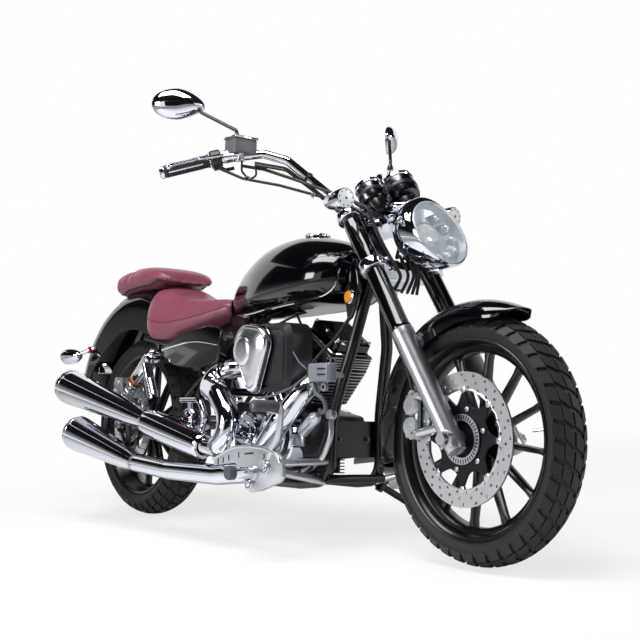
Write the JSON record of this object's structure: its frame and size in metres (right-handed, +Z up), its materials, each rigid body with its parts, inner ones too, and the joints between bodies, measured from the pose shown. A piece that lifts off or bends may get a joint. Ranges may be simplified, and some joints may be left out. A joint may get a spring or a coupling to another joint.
{
  "type": "cruiser motorcycle",
  "caption": "Low cruiser motorcycle with a cradle frame, twin-cylinder engine, telescopic fork, pulled-back handlebar and stacked mufflers, leaning on its side stand.",
  "frame": {"origin": "on the ground under the middle of the bounding box", "axes": "+X forward, +Y to the rider's left, +Z up; the machine leans 8 degrees to the left on its side stand"},
  "size_m": [2.3679, 0.9194, 1.318],
  "materials": {
    "black_frame": "satin",
    "black_paint": "gloss",
    "black_plastic": "matte",
    "black_wheel": "satin",
    "chrome": "polished",
    "clear_lens": "clear",
    "dark_carrier": "satin",
    "engine_black": "satin",
    "grey_plastic": "satin",
    "red_lens": "gloss",
    "rubber": "matte",
    "satin_aluminium": "satin",
    "seat_leather": "satin",
    "steel": "brushed",
    "tyre": "matte"
  },
  "bodies": {
    "frame": {"air_box": "engine_black", "air_cleaner": "chrome", "coil_box": "grey_plastic", "crankcase": "engine_black", "cylinders": "engine_black", "engine_covers": "chrome", "final_drive": "engine_black", "foot_controls": "satin_aluminium", "front_exhaust_pipe": "chrome", "front_plate": "black_frame", "fuel_tank": "black_paint", "lower_muffler": "chrome", "main_frame": "black_frame", "pillion_seat": "seat_leather", "pivot_guard": "chrome", "plate_bracket": "black_frame", "rear_axle": "steel", "rear_caliper": "satin_aluminium", "rear_exhaust_pipe": "chrome", "rear_fender": "black_paint", "rear_subframe": "black_frame", "rear_turn_signals": "chrome", "rider_seat": "seat_leather", "seat_base": "black_plastic", "shock_absorbers": "chrome", "side_covers": "black_paint", "swingarm": "black_frame", "tail_lamp": "red_lens", "upper_muffler": "chrome"},
    "steering": {"fork_covers": "black_paint", "fork_sliders": "satin_aluminium", "steering_clamps": "chrome", "handlebar": "chrome", "grips": "rubber", "lever_perches": "chrome", "switch_housings": "black_plastic", "hand_levers": "chrome", "mirrors": "chrome", "headlight_shell": "chrome", "headlight_lens": "clear_lens", "lamp_bracket": "chrome", "gauges": "chrome", "front_turn_signals": "chrome", "front_fender": "black_paint", "front_caliper": "satin_aluminium", "front_axle": "steel", "front_brake_hose": "rubber", "throttle_cable": "rubber"},
    "front_wheel": {"front_wheel": "black_wheel", "front_tyre": "tyre", "front_disc": "steel", "front_disc_carrier": "dark_carrier"},
    "rear_wheel": {"rear_wheel": "black_wheel", "rear_tyre": "tyre", "rear_disc": "steel", "rear_disc_carrier": "dark_carrier"},
    "side_stand": {"side_stand": "black_frame"}
  },
  "joints": [
    {"name": "steering", "type": "hinge", "parent": "frame", "child": "steering", "pos_m": [0.4871, -0.03308, 0.77586], "axis": [-0.5707, 0.1143, 0.8132], "range_deg": [-36, 36]},
    {"name": "front_wheel_spin", "type": "hinge", "parent": "steering", "child": "front_wheel", "pos_m": [0.882, -0.09996, 0.29996], "axis": [0, 0.9903, -0.1392], "continuous": true},
    {"name": "rear_wheel_spin", "type": "hinge", "parent": "frame", "child": "rear_wheel", "pos_m": [-0.732, -0.09871, 0.30887], "axis": [0, 0.9903, -0.1392], "continuous": true},
    {"name": "side_stand_fold", "type": "hinge", "parent": "frame", "child": "side_stand", "pos_m": [0.347, 0.01665, 0.13815], "axis": [0.1022, 0.6067, 0.7883], "range_deg": [0, 95]}
  ]
}
